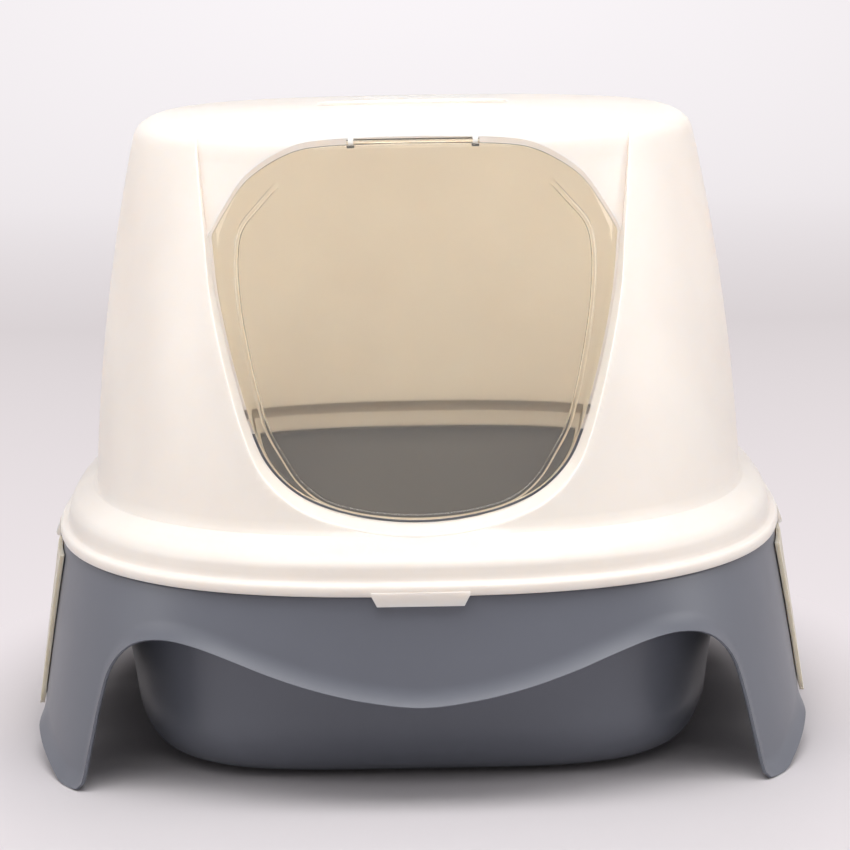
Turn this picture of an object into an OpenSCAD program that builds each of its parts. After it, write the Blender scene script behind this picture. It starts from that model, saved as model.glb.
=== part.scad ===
// Hooded cat litter box. A deep tray hangs inside a flared skirt that stands on four legs, and a
// lift-off hood with a flared rim covers it. A curved see-through door swings in the hood's front.
// Millimetres, +Z up, front towards -Y, origin on the floor under the middle.

/* [Overall] */
// Half width across the hood's flared rim
rim_a = 210; // [206:1:214]
// Half depth across the hood's flared rim
rim_b = 260; // [256:1:264]
// Wall of the hood moulding
hood_wall = 2.5; // [2.2:0.1:2.8]
// Wall of the tray moulding
tray_wall = 2.6; // [2.2:0.1:2.8]

/* [Door] */
// Thickness of the see-through door
door_wall = 2; // [1.6:0.1:2.4]
// Gap between the door and its opening
door_gap = 1.6; // [1.4:0.1:2]
// Height of the rib on the door's face
rib_rise = 1; // [0.6:0.1:1.4]

/* [Side clips] */
// Half length of each clip along the side
clip_half = 104; // [94:1:106]
// Thickness of each clip
clip_wall = 2.6; // [2:0.1:2.8]

/* [Carry handle] */
// Width of the folding handle
handle_w = 96; // [88:1:100]

/* [Hidden] */

FN = 24;
Q = 20;                // points of the skirt's edge in each quarter
MM_DEG = 5.06;         // millimetres along the skirt for one degree
rim_z = 116.2;         // top of the tray's rim
seat_z = 116.5;        // underside of the hood's flange
foot_z = 140;          // where the hood's wall leaves the flared rim
bend_z = 334;          // where the wall starts to bend over to the crown
top_z = 348;           // where the bend ends
crown = 4;             // camber of the crown
peak = top_z + crown;

// Skirt edge in one quarter: angle from the side towards the front, height above the floor
edge = [[0, 20], [13, 20], [25, 19], [31, 15.6], [37, 10], [42, 4.6], [45.6, 0], [48.5, 0],
    [49.8, 3.4], [50.3, 20], [50.9, 48], [51.7, 65], [53.4, 75.6], [55.8, 82.6], [59.5, 86],
    [63.5, 84.8], [68, 79.8], [73, 72.2], [78.5, 64.6], [84, 59], [90, 56]];
roll_w = 9.5;          // width of the rolled edge
roll_out = 4;          // how far the roll flares

// Doorway outline on the hood's face, right half, from the crown down to the sill: x, z
gate = [[119, 380], [118, 364], [117, 350], [116, 330], [114, 308], [112, 288], [109.5, 262],
    [104.5, 236], [98.5, 212], [91.5, 189], [84.5, 173], [76, 162.5], [65, 154], [52, 148],
    [36, 143.5], [18, 140.5], [0, 139.5]];
// Lower edge of the band above the door, right half, from the middle outwards: x, z
arch = [[0, 343.5], [26, 343], [48, 342], [61, 340], [74, 334.5], [90, 323], [101.5, 307],
    [112, 289], [124, 268]];
// Outer line of the rib on the door, right half, from the top down to the middle: x, z
rib = [[66, 340], [71, 323], [82, 311], [94, 296], [97, 280], [95.5, 254], [92, 233], [87, 210],
    [81, 190], [73, 176], [64, 163], [51, 153], [30, 147], [0, 144.5]];
draft = tan(10);
pin_y = -174.8;        // door's hinge line, just behind its skin
pin_z = 340.6;
ear_x = 33;            // middle of each hinge ear

clip_x = rim_a + 0.6;  // clips' hinge line
clip_z = 107.4;
grip_y = 8;            // middle of the handle's pocket
pocket_z = peak - 11;  // floor of the pocket
vent_y = 84;           // middle of the vents

function lerp(a, b, t) = a + (b - a) * t;
function reach(p, a, b, n) = pow(pow(abs(cos(p)) / a, n) + pow(abs(sin(p)) / b, n), -1 / n);

// Closed surface through rings of equal length, closed by a fan at each end
module skin(rings, low, high, flip = false) {
    n = len(rings[0]);
    m = len(rings);
    tri = concat(
        [for (i = [0:m - 2], j = [0:n - 1])
            [i * n + j, (i + 1) * n + j, (i + 1) * n + (j + 1) % n]],
        [for (i = [0:m - 2], j = [0:n - 1])
            [i * n + j, (i + 1) * n + (j + 1) % n, i * n + (j + 1) % n]],
        [for (j = [0:n - 1]) [m * n, j, (j + 1) % n]],
        [for (j = [0:n - 1])
            [m * n + 1, (m - 1) * n + (j + 1) % n, (m - 1) * n + j]]);
    polyhedron(concat([for (r = rings) each r], [low, high]),
        flip ? [for (t = tri) [t[2], t[1], t[0]]] : tri, 4);
}

// Prism between the same outline drawn at two depths
module loft(p0, y0, p1, y1) {
    n = len(p0);
    polyhedron(concat([for (p = p0) [p[0], y0, p[1]]], [for (p = p1) [p[0], y1, p[1]]]),
        concat([[for (i = [0:n - 1]) i]], [[for (i = [n - 1:-1:0]) n + i]],
            [for (i = [0:n - 1]) [i, n + i, (i + 1) % n]],
            [for (i = [0:n - 1]) [n + i, n + (i + 1) % n, (i + 1) % n]]), 4);
}

// A shell that is cut and joined as one moulding
module moulded() {
    resize([0, 0, 0]) union() children();
}

module along_y(x, z, y0, y1, r) {
    translate([x, y0, z]) rotate([-90, 0, 0]) cylinder(h = y1 - y0, r = r, $fn = FN);
}

module along_x(x0, x1, y, z, r) {
    translate([x0, y, z]) rotate([0, 90, 0]) cylinder(h = x1 - x0, r = r, $fn = FN);
}

// ---- Tray with its skirt ----

function skirt_a(z) = rim_a - 2.5 + (112 - z) * 0.122;
function skirt_b(z) = rim_b - 4 + (112 - z) * 0.1;
function skirt_n(z) = 2.57 + 0.72 * (112 - z) / 112;

// Angles of the stations along the rim, spread more evenly than the edge's own
spread = [for (i = [0:Q]) lerp(edge[i][0], 90 * i / Q, 0.6)];

// Mirrors one quarter's row of [angle, height, offset] round the other three
function around(row) = concat(
    [for (i = [0:Q - 1]) row[i]],
    [for (i = [Q:-1:1]) [180 - row[i][0], row[i][1], row[i][2]]],
    [for (i = [0:Q - 1]) [180 + row[i][0], row[i][1], row[i][2]]],
    [for (i = [Q:-1:1]) [360 - row[i][0], row[i][1], row[i][2]]]);

function skirt_ring(row) = [for (s = around(row))
    let (r = reach(s[0], skirt_a(s[1]) + s[2], skirt_b(s[1]) + s[2], skirt_n(s[1])))
        [r * cos(s[0]), r * sin(s[0]), s[1]]];

function plain_ring(a, b, n, z) = [for (s = around([for (p = spread) [p, z, 0]]))
    let (r = reach(s[0], a, b, n)) [r * cos(s[0]), r * sin(s[0]), z]];

function edge_at(i) = i < 0 ? [-edge[-i][0], edge[-i][1]]
    : i > Q ? [180 - edge[2 * Q - i][0], edge[2 * Q - i][1]] : edge[i];

// Direction square to the edge, pointing up the skirt
function edge_up(i) = let (d = edge_at(i + 2) - edge_at(i - 2), t = [d[0] * MM_DEG, d[1]])
    [-t[1], t[0]] / norm(t);

// Row on the skirt a share k of the roll's width above the edge; the roll's flare fades out
// behind the side clips
function roll_row(k, inside) = [for (i = [0:Q])
    let (u = edge_up(i), fade = min(1, max(0, (edge[i][0] - 25) / 8)))
        [edge[i][0] + k * roll_w * u[0] / MM_DEG, max(0, edge[i][1] + k * roll_w * u[1]),
            fade * roll_out * (1 - max(k, 0)) * (1 - max(k, 0)) - inside]];

// Row on the skirt between the roll and the rim
function skirt_row(t, top, inside) = let (r = roll_row(1, inside)) [for (i = [0:Q])
    [lerp(r[i][0], spread[i], t), lerp(r[i][1], top, t), -inside]];

// Inside of the tray from the floor up: half width, half depth, squareness, height
pan = [[140, 192, 4.4, 2], [148.5, 200.5, 4.4, 5], [156, 208, 4.4, 12], [162, 216, 4.2, 25],
    [167, 222, 3.6, 46], [176, 234, 3, 80]];

module tray_skin() {
    w = tray_wall;
    a = rim_a;
    b = rim_b;
    skin(concat(
        [for (p = pan) let (h = p[3] < 13 ? w * (13 - p[3]) / 11 : 0)
            plain_ring(p[0] - w + h * 0.4, p[1] - w + h * 0.4, p[2], p[3] + h + 0.2)],
        [plain_ring(a - 28.6, b - 20.6, 2.7, 102.8),
            plain_ring(a - 13.8, b - 13.6, 2.6, rim_z - 1),
            plain_ring(a - 11.6, b - 11.4, 2.6, rim_z),
            plain_ring(a - 6.6, b - 6.6, 2.58, rim_z),
            plain_ring(a - 4.8, b - 5, 2.57, rim_z - 0.8),
            plain_ring(a - 4.6, b - 4.8, 2.57, 113.2),
            plain_ring(a - 3, b - 4.2, 2.57, 112.3),
            skirt_ring(skirt_row(1, 111.2, 0)),
            skirt_ring(skirt_row(0.5, 111.2, 0)),
            skirt_ring(roll_row(1, 0)),
            skirt_ring(roll_row(0.5, 0)),
            skirt_ring(roll_row(0, 0)),
            skirt_ring(roll_row(-0.08, w / 2)),
            skirt_ring(roll_row(0, w)),
            skirt_ring(roll_row(1, w)),
            skirt_ring(skirt_row(0.5, 109, w)),
            skirt_ring(skirt_row(1, 109, w)),
            plain_ring(a - 8, b - 8.2, 2.57, 112.6),
            plain_ring(a - 11.6, b - 11.2, 2.6, 113.4),
            plain_ring(a - 26, b - 18.2, 2.7, 101.3)],
        [for (i = [len(pan) - 1:-1:0]) plain_ring(pan[i][0], pan[i][1], pan[i][2], pan[i][3])]),
        [0, 0, 2 + w + 0.2], [0, 0, 2], true);
}

// Window in the skirt's side that each clip covers
module side_windows() {
    for (s = [-1, 1])
        translate([s * 212, 0, 66]) rotate([0, 90, 0])
            linear_extrude(26, center = true) offset(7, $fn = 24) square([34, 142], center = true);
}

module base_tray() {
    color("slategray") moulded() difference() {
        tray_skin();
        side_windows();
    }
}

// ---- Hood ----

turn = [for (i = [0:55]) 360 * i / 56];
function wall_u(z) = (z - foot_z) / 172;
// How far the bend to the crown pulls the wall in
function bend(z) = z <= bend_z ? 0
    : 24 * (1 - pow(1 - pow(min(1, (z - bend_z) / (top_z - bend_z)), 3.2), 1 / 3.2));
function wall_a(z) = rim_a - 21.6 - 8 * wall_u(z) - 13 * wall_u(z) * wall_u(z) - bend(z);
function wall_f(z) = rim_b - 31 - 25 * wall_u(z) - 14 * wall_u(z) * wall_u(z) - bend(z);
function wall_r(z) = rim_b - 31 - 15 * wall_u(z) - 24 * wall_u(z) * wall_u(z) - bend(z);
wall_n = 2.6;
function lean(z) = (wall_f(min(z + 0.3, top_z)) - wall_f(z - 0.3)) / (min(z + 0.3, top_z) - z + 0.3);

function hood_ring(a, f, r, n, z) = [for (p = turn)
    let (q = reach(p, a, sin(p) < 0 ? f : r, n)) [q * cos(p), q * sin(p), z]];

// Ring of the wall at height z, moved inwards by d square to the wall
function wall_ring(z, d) = let (g = lean(z), c = 1 / sqrt(1 + g * g))
    hood_ring(wall_a(z) - d * c, wall_f(z) - d * c, wall_r(z) - d * c, wall_n, z + d * c * g);

function crown_ring(s, d) = hood_ring(s * wall_a(top_z), s * wall_f(top_z), s * wall_r(top_z),
    wall_n, top_z + crown * (1 - s * s) - d);

bend_rows = [334, 339, 342.6, 345.2, 346.9, 347.8];
wall_rows = concat([142, 165, 195, 225, 255, 282, 308], bend_rows);
inner_rows = concat([142, 195, 255, 308], bend_rows);

// Flared rim from its lower edge up to the wall's foot: inset across, inset along, height
flare = [[1.3, 1.3, 113], [0.2, 0.2, 114.3], [0, 0, 116.4], [0.9, 0.9, 118.8], [4.6, 4.6, 119.8],
    [5.4, 5.4, 124], [6.2, 6.2, 128.4], [8.4, 9.6, 132], [12, 17, 135.2], [16.4, 24.6, 137.8],
    [20.2, 30, 139.6]];
// The same inside: lip, seat on the tray's rim, hollow of the flare
hollow = [[3.6, 3.6, 112], [3.6, 3.6, seat_z], [8.4, 8.4, seat_z], [8.6, 8.6, 127],
    [11.4, 13, 130.4], [16, 23, 134.2], [22.6, 32.4, 137.6]];

function flare_ring(f) = hood_ring(rim_a - f[0], rim_b - f[1], rim_b - f[1], 2.57, f[2]);

module hood_outside() {
    skin(concat([for (f = flare) flare_ring(f)], [for (z = wall_rows) wall_ring(z, 0)],
        [crown_ring(0.8, 0), crown_ring(0.45, 0)]),
        [0, 0, flare[0][2]], [0, 0, peak]);
}

module hood_inside() {
    w = hood_wall;
    skin(concat([for (f = hollow) flare_ring(f)],
        [for (z = inner_rows) wall_ring(z, w)], [crown_ring(0.93, w), crown_ring(0.45, w)]),
        [0, 0, hollow[0][2]], [0, 0, peak - w]);
}

// Depth of the sunk band and door below the hood's face; it fades out at the crown
function sunk(z) = z < 330 ? 2.5 + (330 - z) * 0.062 : 2.5 - (z - 330) * 0.156;

// Everything that lies deeper than the sunk face by d
module deeper(d) {
    rows = concat([120], inner_rows);
    skin(concat([for (z = rows) wall_ring(z, sunk(z) + d)],
        [crown_ring(0.8, -0.6 + d)]),
        [0, 0, 120], [0, 0, peak + 0.6 - d]);
}

function mirrored(h) = concat(h, [for (i = [len(h) - 2:-1:0]) [-h[i][0], h[i][1]]]);
function face_y(x, z) = let (h = min(z, 346), q = min(0.97, abs(x) / wall_a(h)))
    -wall_f(h) * pow(1 - pow(q, wall_n), 1 / wall_n);
// Outline moved outwards by g
function grown(p, g) = [for (i = [0:len(p) - 1])
    let (n = len(p), d = p[(i + 1) % n] - p[(i + n - 1) % n]) p[i] + g * [-d[1], d[0]] / norm(d)];
// Outline as the tapered cut meets the plane at depth y
function drafted(p, y) = [for (i = [0:len(p) - 1])
    let (n = len(p), d = p[(i + 1) % n] - p[(i + n - 1) % n])
        p[i] + draft * (face_y(p[i][0], p[i][1]) - y) * [-d[1], d[0]] / norm(d)];

gate_line = mirrored(gate);
arch_line = concat([for (i = [len(arch) - 1:-1:1]) [-arch[i][0], arch[i][1]]], arch);

module gateway(g) {
    p = grown(gate_line, g);
    loft(drafted(p, -290), -290, drafted(p, -120), -120);
}

module above_arch(lift) {
    translate([0, -100, 0]) rotate([90, 0, 0]) linear_extrude(200)
        polygon(concat([for (p = arch_line) [p[0], p[1] + lift]], [[150, 268], [150, 400],
            [-150, 400], [-150, 268]]));
}

module pocket(g) {
    translate([0, grip_y, pocket_z - g]) linear_extrude(30)
        offset(8 + g, $fn = 24) square([handle_w - 1, 30], center = true);
}

module vents() {
    for (i = [-3:3])
        translate([0, vent_y + i * 9, peak - 17]) linear_extrude(30)
            offset(2, $fn = 16) square([76 - abs(i) * 6, 0.4], center = true);
}

module filter_ring(g, h) {
    translate([0, vent_y, peak - 7.3 - h]) linear_extrude(h + 3)
        offset(4 + g, $fn = 20) square([88, 66], center = true);
}

module hinge_ears() {
    for (s = [-1, 1])
        hull() {
            along_x(s * ear_x - 1.4, s * ear_x + 1.4, pin_y, pin_z, 2.9);
            translate([s * ear_x - 1.4, pin_y + 0.4, 344.2]) cube([2.8, 4, 1.4]);
        }
}

module clip_lugs() {
    for (s = [-1, 1], e = [-1, 1])
        hull() {
            along_y(s * clip_x, clip_z, e * 46 - 3, e * 46 + 3, 2.1);
            translate([s * (rim_a - 1.6) - 1.2, e * 46 - 3, 113.4]) cube([2.4, 6, 3]);
        }
}

module lift_tab() {
    hull() {
        translate([-25.5, -rim_b - 0.6, 114]) cube([51, 3, 1.5]);
        translate([-22.5, -rim_b + 0.2, 108]) cube([45, 1.8, 1]);
    }
}

module hood_moulding() {
    difference() {
        union() {
            difference() {
                hood_outside();
                difference() {
                    hood_inside();
                    difference() {
                        gateway(hood_wall);
                        deeper(hood_wall);
                    }
                    pocket(hood_wall);
                    difference() {
                        filter_ring(2, 12);
                        filter_ring(0, 13);
                    }
                }
                difference() {
                    gateway(0);
                    intersection() {
                        deeper(0);
                        above_arch(0);
                    }
                }
            }
            hinge_ears();
            clip_lugs();
            lift_tab();
        }
        pocket(0);
        vents();
    }
}

module hood_shell() {
    color("linen") difference() {
        moulded() hood_moulding();
        for (s = [-1, 1]) {
            along_x(s * ear_x - 4, s * ear_x + 4, pin_y, pin_z, 1.55);
            along_x(s * (handle_w / 2 + 9) - 5, s * (handle_w / 2 + 9) + 5, grip_y - 14,
                peak - 5.5, 2.05);
            for (e = [-1, 1])
                along_y(s * clip_x, clip_z, e * 46 - 5, e * 46 + 5, 1.25);
        }
    }
}

// ---- Door ----

// Door's own outline: the gateway's foot, drawn in by the gap, under the arch
module door_cut(g) {
    intersection() {
        gateway(-door_gap - 0.4 - g);
        difference() {
            translate([-130, -260, 120]) cube([260, 150, 240]);
            above_arch(-door_gap - 1.5 - g);
        }
    }
}

module door_panel() {
    difference() {
        intersection() {
            deeper(0.3);
            door_cut(0);
        }
        deeper(0.3 + door_wall);
        for (s = [-1, 1])
            along_x(s * ear_x - 2, s * ear_x + 2, pin_y, pin_z, 3.7);
    }
}

module door_rib() {
    p = mirrored(rib);
    difference() {
        intersection() {
            deeper(0.3 - rib_rise);
            loft(p, -260, p, -150);
        }
        deeper(0.8);
        loft(grown(p, -3), -265, grown(p, -3), -145);
        translate([-90, -260, 321]) cube([180, 150, 40]);
    }
}

module swing_door() {
    color([0.72, 0.66, 0.5, 0.5]) union() {
        moulded() {
            door_panel();
            door_rib();
        }
        along_x(-ear_x + 1.9, ear_x - 1.9, pin_y, pin_z, 1.8);
        along_x(-ear_x - 2.2, ear_x + 2.2, pin_y, pin_z, 1.5);
    }
}

// ---- Side clips ----

function clip_point(p, z, out) =
    let (r = reach(p, skirt_a(z) + out, skirt_b(z) + out, skirt_n(z))) [r * cos(p), r * sin(p), z];

// Plate that follows the skirt from just above the roll to the hinge
module clip_plate() {
    zs = [17, 39, 61, 83, 105.2];
    skin([for (i = [0:12]) let (p = -33 + 5.5 * i) concat(
        [for (z = zs) clip_point(p, z, 0.8)],
        [for (j = [4:-1:0]) clip_point(p, zs[j], 0.8 + clip_wall)])],
        clip_point(-33, 61, 1.5), clip_point(33, 61, 1.5));
}

module side_clip() {
    difference() {
        union() {
            moulded() difference() {
                union() {
                    intersection() {
                        clip_plate();
                        translate([150, 0, 66]) rotate([90, 0, 90]) linear_extrude(100)
                            offset(10, $fn = 32) square([2 * clip_half - 20, 78], center = true);
                    }
                    for (e = [-1, 1])
                        hull() {
                            translate([skirt_a(44) - 1.8, e * 50 - 7, 43.4]) cube([3, 14, 1.6]);
                            translate([skirt_a(44) + 0.4, e * 50 - 7, 43.4]) cube([1, 14, 8]);
                        }
                    translate([clip_x - 1.6, -41, 103]) cube([2.6, 82, 4]);
                }
                for (e = [-1, 1])
                    translate([clip_x, e * 46, clip_z]) cube([12, 6.8, 9], center = true);
                translate([clip_x + 8, 0, 14]) rotate([0, 90, 0])
                    cylinder(h = 30, r = 9, center = true, $fn = 36);
            }
            along_y(clip_x, clip_z, -42.6, 42.6, 2);
            along_y(clip_x, clip_z, -48.6, 48.6, 1.2);
        }
    }
}

module side_clip_right() {
    color("tan") side_clip();
}

module side_clip_left() {
    color("tan") rotate([0, 0, 180]) side_clip();
}

// ---- Carry handle ----

module carry_handle() {
    color("gainsboro") translate([0, grip_y, 0]) union() {
        translate([-handle_w / 2, 7, peak - 7.9]) cube([handle_w, 11, 5]);
        for (s = [-1, 1])
            hull() {
                translate([s * (handle_w / 2 - 3) - 3, 8, peak - 7.9]) cube([6, 8, 5]);
                along_x(s * (handle_w / 2 - 3) - 3, s * (handle_w / 2 - 3) + 3, -14, peak - 5.5, 3);
            }
        for (s = [-1, 1])
            along_x(s * (handle_w / 2 + 3) - 5, s * (handle_w / 2 + 3) + 5, -14, peak - 5.5, 2);
    }
}

// ---- Filter ----

module filter_frame() {
    color("whitesmoke") translate([0, vent_y, 0]) difference() {
        union() {
            translate([0, 0, peak - 21.3]) linear_extrude(2) offset(6, $fn = 20)
                square([88, 66], center = true);
            translate([0, 0, peak - 19.3]) linear_extrude(8) offset(3.8, $fn = 20)
                square([88, 66], center = true);
        }
        translate([0, 0, peak - 19.3]) linear_extrude(9) offset(2, $fn = 20)
            square([88, 66], center = true);
        for (i = [-3:3])
            translate([-40, i * 9 - 2.5, peak - 22]) cube([80, 5, 5]);
    }
}

module filter_pad() {
    color([0.2, 0.2, 0.2]) translate([0, vent_y, peak - 19.1]) linear_extrude(6)
        offset(1.6, $fn = 20) square([88, 66], center = true);
}

base_tray();
hood_shell();
swing_door();
side_clip_left();
side_clip_right();
carry_handle();
filter_frame();
filter_pad();
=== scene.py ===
"""Hooded cat litter box, dressed for a studio picture.

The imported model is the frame. The mouldings are worked out again as smooth surfaces, in the
same millimetres as the model, and stand in for its faceted ones.
"""

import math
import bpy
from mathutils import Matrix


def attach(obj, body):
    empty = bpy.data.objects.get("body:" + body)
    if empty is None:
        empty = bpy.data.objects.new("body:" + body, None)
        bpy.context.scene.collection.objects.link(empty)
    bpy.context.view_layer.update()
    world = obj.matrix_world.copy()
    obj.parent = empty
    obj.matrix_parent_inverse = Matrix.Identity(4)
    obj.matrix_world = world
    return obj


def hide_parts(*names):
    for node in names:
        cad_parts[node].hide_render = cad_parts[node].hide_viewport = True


bl_info = {
    "name": "Hooded Litter Box",
    "version": (1, 0, 0),
    "blender": (4, 5, 0),
    "location": "3D View > Sidebar > Litter Box",
    "description": "Builds a hooded cat litter box with a see-through swing door",
    "category": "Add Mesh",
}

import bmesh
import bpy
import numpy as np
from mathutils import Matrix, Vector

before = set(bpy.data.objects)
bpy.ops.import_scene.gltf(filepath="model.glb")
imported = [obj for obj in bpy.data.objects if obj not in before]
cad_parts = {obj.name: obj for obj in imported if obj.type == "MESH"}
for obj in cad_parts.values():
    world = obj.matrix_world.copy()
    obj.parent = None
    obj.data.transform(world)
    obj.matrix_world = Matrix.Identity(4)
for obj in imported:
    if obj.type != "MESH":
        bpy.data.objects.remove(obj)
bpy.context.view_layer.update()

MM = 0.001

# Heights of the hood's parts above the floor
RIM_Z = 116.2      # top of the tray's rim
SEAT_Z = 116.5     # underside of the hood's flange
FOOT_Z = 140.0     # where the wall leaves the flared rim
BEND_Z = 334.0     # where the wall starts to bend over
TOP_Z = 348.0      # where the bend ends
CROWN = 4.0        # camber of the crown
PEAK = TOP_Z + CROWN
WALL_N = 2.6       # squareness of the hood's plan
BEND_N = 3.2       # squareness of the bend
BEND_IN = 24.0     # how far the bend pulls the wall in

PIN = (-174.8, 340.6)    # door's hinge line: y, z
EAR_X = 33.0
GRIP_Y = 8.0             # middle of the handle's pocket
POCKET_Z = PEAK - 11
VENT_Y = 84.0
DRAFT = math.tan(math.radians(10))

# Skirt edge in one quarter: angle from the side towards the front, height
EDGE = [(0, 20), (13, 20), (25, 19), (31, 15.6), (37, 10), (42, 4.6), (45.6, 0), (48.5, 0),
        (49.8, 3.4), (50.3, 20), (50.9, 48), (51.7, 65), (53.4, 75.6), (55.8, 82.6), (59.5, 86),
        (63.5, 84.8), (68, 79.8), (73, 72.2), (78.5, 64.6), (84, 59), (90, 56)]
MM_DEG = 5.06
ROLL_W = 9.5
ROLL_OUT = 4.0

# Doorway outline, right half, from the crown down to the sill: x, z
GATE = [(119, 380), (118, 364), (117, 350), (116, 330), (114, 308), (112, 288), (109.5, 262),
        (104.5, 236), (98.5, 212), (91.5, 189), (84.5, 173), (76, 162.5), (65, 154), (52, 148),
        (36, 143.5), (18, 140.5), (0, 139.5)]
# Lower edge of the band above the door, right half, from the middle outwards: x, z
ARCH = [(0, 343.5), (26, 343), (48, 342), (61, 340), (74, 334.5), (90, 323), (101.5, 307),
        (112, 289), (124, 268)]
# Outer line of the rib on the door, right half, from the top down to the middle: x, z
RIB = [(71, 323), (82, 311), (94, 296), (97, 280), (95.5, 254), (92, 233), (87, 210), (81, 190),
       (73, 176), (64, 163), (51, 153), (30, 147), (0, 144.5)]


# ---- Settings ----

class LitterBoxSizes(bpy.types.PropertyGroup):
    """Sizes of the box in millimetres."""
    rim_a: bpy.props.FloatProperty(
        name="Half width", description="Half width across the hood's flared rim", default=210)
    rim_b: bpy.props.FloatProperty(
        name="Half depth", description="Half depth across the hood's flared rim", default=260)
    hood_wall: bpy.props.FloatProperty(
        name="Hood wall", description="Wall of the hood moulding", default=2.5)
    tray_wall: bpy.props.FloatProperty(
        name="Tray wall", description="Wall of the tray moulding", default=2.6)
    door_wall: bpy.props.FloatProperty(
        name="Door wall", description="Thickness of the see-through door", default=2.0)
    door_gap: bpy.props.FloatProperty(
        name="Door gap", description="Gap between the door and its opening", default=1.6)
    rib_rise: bpy.props.FloatProperty(
        name="Rib rise", description="Height of the rib on the door's face", default=1.0)
    edge_round: bpy.props.FloatProperty(
        name="Edge radius", description="Radius on the doorway's outer edge", default=1.4)
    detail: bpy.props.IntProperty(
        name="Detail", description="Points round each moulding", default=360, min=120)


class LitterBoxColours(bpy.types.PropertyGroup):
    """Colours of the mouldings as sRGB hex values."""
    hood: bpy.props.StringProperty(
        name="Hood", description="Ivory of the hood", default="#EBE3DC")
    base: bpy.props.StringProperty(
        name="Base", description="Blue-grey of the tray", default="#63666F")
    door: bpy.props.StringProperty(
        name="Door", description="Smoky tint of the door", default="#F1E9D3")
    clip: bpy.props.StringProperty(
        name="Clips", description="Natural ivory of the side clips", default="#CFC6B4")
    pad: bpy.props.StringProperty(
        name="Filter pad", description="Charcoal of the filter pad", default="#26262A")
    floor: bpy.props.StringProperty(
        name="Floor", description="Pale studio floor", default="#CFCACD")


# ---- Formulas ----

def linear(hex_colour):
    """sRGB hex value as linear RGBA."""
    c = np.array([int(hex_colour[i:i + 2], 16) / 255 for i in (1, 3, 5)])
    low = c / 12.92
    high = ((c + 0.055) / 1.055) ** 2.4
    return (*[float(v) for v in np.where(c <= 0.04045, low, high)], 1.0)


def spline(knots, count, closed=False):
    """Smooth curve through knots: cubic pieces between them, whose slopes come from each
    knot's neighbours, spaced by the root of the chord. Returns count rows."""
    k = np.asarray(knots, float)
    if closed:
        k = np.concatenate([k[-2:], k, k[:3]])
    flat = k.reshape(len(k), -1)
    gap = np.maximum(np.linalg.norm(np.diff(flat, axis=0), axis=1), 1e-6) ** 0.5
    t = np.concatenate([[0], np.cumsum(gap)])
    rise = np.diff(flat, axis=0) / gap[:, None]
    slope = np.empty_like(flat)
    slope[1:-1] = (rise[:-1] * gap[1:, None] + rise[1:] * gap[:-1, None]) / (
        gap[:-1] + gap[1:])[:, None]
    slope[0], slope[-1] = rise[0], rise[-1]
    lo, hi = (t[2], t[-3]) if closed else (t[0], t[-1])
    at = np.linspace(lo, hi, count, endpoint=not closed)
    i = np.clip(np.searchsorted(t, at, side="right") - 1, 0, len(gap) - 1)
    h = gap[i]
    s = ((at - t[i]) / h)[:, None]
    h = h[:, None]
    out = ((2 * s ** 3 - 3 * s ** 2 + 1) * flat[i] + (s ** 3 - 2 * s ** 2 + s) * h * slope[i]
           + (3 * s ** 2 - 2 * s ** 3) * flat[i + 1] + (s ** 3 - s ** 2) * h * slope[i + 1])
    return out.reshape((count,) + k.shape[1:])


def reach(p, a, b, n):
    """Distance from the middle to a superellipse of half axes a, b and squareness n at angle p."""
    return ((np.abs(np.cos(p)) / a) ** n + (np.abs(np.sin(p)) / b) ** n) ** (-1 / n)


def wall_u(z):
    return (z - FOOT_Z) / 172


def bend(z):
    """How far the bend to the crown pulls the wall in: a quarter of a superellipse."""
    c = np.clip((z - BEND_Z) / (TOP_Z - BEND_Z), 0, 1)
    return BEND_IN * (1 - (1 - c ** BEND_N) ** (1 / BEND_N))


def wall_a(z, rim_a):
    return rim_a - 21.6 - 8 * wall_u(z) - 13 * wall_u(z) ** 2 - bend(z)


def wall_f(z, rim_b):
    return rim_b - 31 - 25 * wall_u(z) - 14 * wall_u(z) ** 2 - bend(z)


def wall_r(z, rim_b):
    return rim_b - 31 - 15 * wall_u(z) - 24 * wall_u(z) ** 2 - bend(z)


def lean(z, rim_b):
    up = np.minimum(z + 0.3, TOP_Z)
    return (wall_f(up, rim_b) - wall_f(z - 0.3, rim_b)) / (up - z + 0.3)


def hood_rings(a, f, r, n, z, count):
    """Rings round the hood: a superellipse whose depth differs in front and behind."""
    p = np.linspace(0, 2 * np.pi, count, endpoint=False)[None]
    a, f, r, z = (np.asarray(v, float)[:, None] for v in (a, f, r, z))
    q = reach(p, a, np.where(np.sin(p) < 0, f, r), n)
    return np.stack([q * np.cos(p), q * np.sin(p), z + 0 * q], -1)


def wall_rings(z, d, s):
    """Rings of the wall at heights z, moved inwards by d square to the wall."""
    g = lean(z, s.rim_b)
    c = 1 / np.sqrt(1 + g * g)
    return hood_rings(wall_a(z, s.rim_a) - d * c, wall_f(z, s.rim_b) - d * c,
                      wall_r(z, s.rim_b) - d * c, WALL_N, z + d * c * g, s.detail)


def crown_rings(share, d, s):
    """Rings of the cambered crown, share 1 at the bend and 0 in the middle, d below it."""
    share = np.asarray(share, float)
    return hood_rings(share * wall_a(TOP_Z, s.rim_a), share * wall_f(TOP_Z, s.rim_b),
                      share * wall_r(TOP_Z, s.rim_b), WALL_N,
                      TOP_Z + CROWN * (1 - share ** 2) - d, s.detail)


def sunk(z):
    """Depth of the sunk band and door below the hood's face; it fades out at the crown."""
    return np.where(z < 330, 2.5 + (330 - z) * 0.062, 2.5 - (z - 330) * 0.156)


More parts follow.
